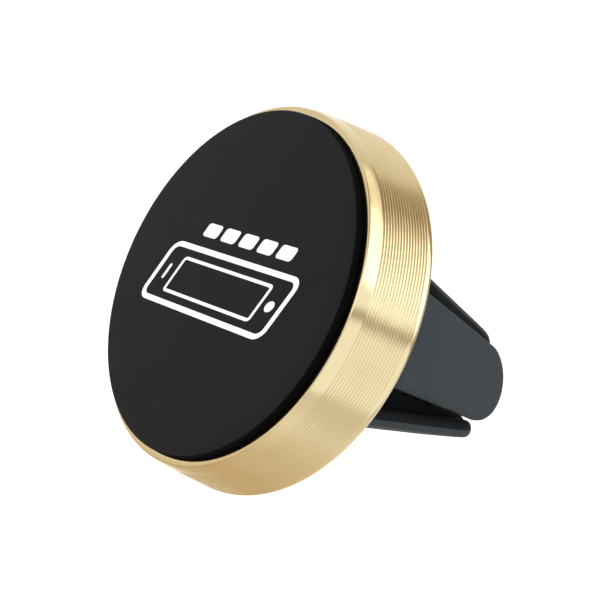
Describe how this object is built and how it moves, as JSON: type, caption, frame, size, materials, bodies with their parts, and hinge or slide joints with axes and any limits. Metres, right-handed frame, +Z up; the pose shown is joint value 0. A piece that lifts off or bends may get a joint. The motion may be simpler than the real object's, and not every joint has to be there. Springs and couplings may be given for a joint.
{
  "type": "magnetic vent phone mount",
  "caption": "Round magnetic phone holder with a grooved gold ring and dark pad, on a ball joint with a four-pronged rubber clip for air vent blades.",
  "frame": {"origin": "seat of the clip on its axis, where a vent blade meets the bottom of the slots", "axes": "+Y into the vent, -Y out of the phone face, +Z up; the narrow slot lies in the XY plane and the wide slot in the YZ plane"},
  "size_m": [0.04, 0.0383, 0.04],
  "materials": {
    "gold_aluminium": "turned and gold anodised, fine grooves, polished front and back bands",
    "face_rubber": "smooth satin",
    "silicone": "smooth matt silicone",
    "moulded_black": "fine spark-eroded texture",
    "acetal_black": "smooth",
    "acetal_white": "smooth",
    "nylon_black": "smooth",
    "adhesive": "film",
    "magnet": "nickel plated",
    "plated_steel": "zinc plated",
    "spring_steel": "tempered",
    "black_steel": "black oxide, polished ball",
    "brass": "knurled"
  },
  "bodies": {
    "clip": {"ball_stud": "black_steel", "thread_insert": "brass", "clip_core": "nylon_black", "boot_collar": "silicone"},
    "tilt_liner": {"ball_liner": "acetal_white"},
    "pan_cup": {"preload_cup": "spring_steel"},
    "head": {"face_pad": "face_rubber", "pad_adhesive": "adhesive", "trim_ring": "gold_aluminium", "magnet_carrier": "moulded_black", "magnet_1": "magnet", "magnet_2": "magnet", "magnet_3": "magnet", "magnet_4": "magnet", "magnet_5": "magnet", "magnet_6": "magnet", "yoke_plate": "plated_steel", "rear_cover": "moulded_black", "cover_screws": "plated_steel", "socket_ring": "acetal_black"},
    "prong_1": {"grip_1": "silicone", "tine_1": "spring_steel"},
    "prong_2": {"grip_2": "silicone", "tine_2": "spring_steel"},
    "prong_3": {"grip_3": "silicone", "tine_3": "spring_steel"},
    "prong_4": {"grip_4": "silicone", "tine_4": "spring_steel"}
  },
  "joints": [
    {"name": "head_tilt", "type": "hinge", "parent": "clip", "child": "tilt_liner", "pos_m": [0, -0.0092, 0], "axis": [1, 0, 0], "range_deg": [-18, 18]},
    {"name": "head_pan", "type": "hinge", "parent": "tilt_liner", "child": "pan_cup", "pos_m": [0, -0.0092, 0], "axis": [0, 0, 1], "range_deg": [-18, 18]},
    {"name": "head_spin", "type": "hinge", "parent": "pan_cup", "child": "head", "pos_m": [0, -0.0092, 0], "axis": [0, 1, 0], "continuous": true},
    {"name": "prong_1_flex", "type": "hinge", "parent": "clip", "child": "prong_1", "pos_m": [0.00601, 0.0003, 0.00601], "axis": [0.7071, 0, -0.7071], "range_deg": [0, 6], "stiffness_Nm_per_rad": 0.2},
    {"name": "prong_2_flex", "type": "hinge", "parent": "clip", "child": "prong_2", "pos_m": [-0.00601, 0.0003, 0.00601], "axis": [0.7071, 0, 0.7071], "range_deg": [0, 6], "stiffness_Nm_per_rad": 0.2},
    {"name": "prong_3_flex", "type": "hinge", "parent": "clip", "child": "prong_3", "pos_m": [-0.00601, 0.0003, -0.00601], "axis": [-0.7071, 0, 0.7071], "range_deg": [0, 6], "stiffness_Nm_per_rad": 0.2},
    {"name": "prong_4_flex", "type": "hinge", "parent": "clip", "child": "prong_4", "pos_m": [0.00601, 0.0003, -0.00601], "axis": [-0.7071, 0, -0.7071], "range_deg": [0, 6], "stiffness_Nm_per_rad": 0.2}
  ]
}
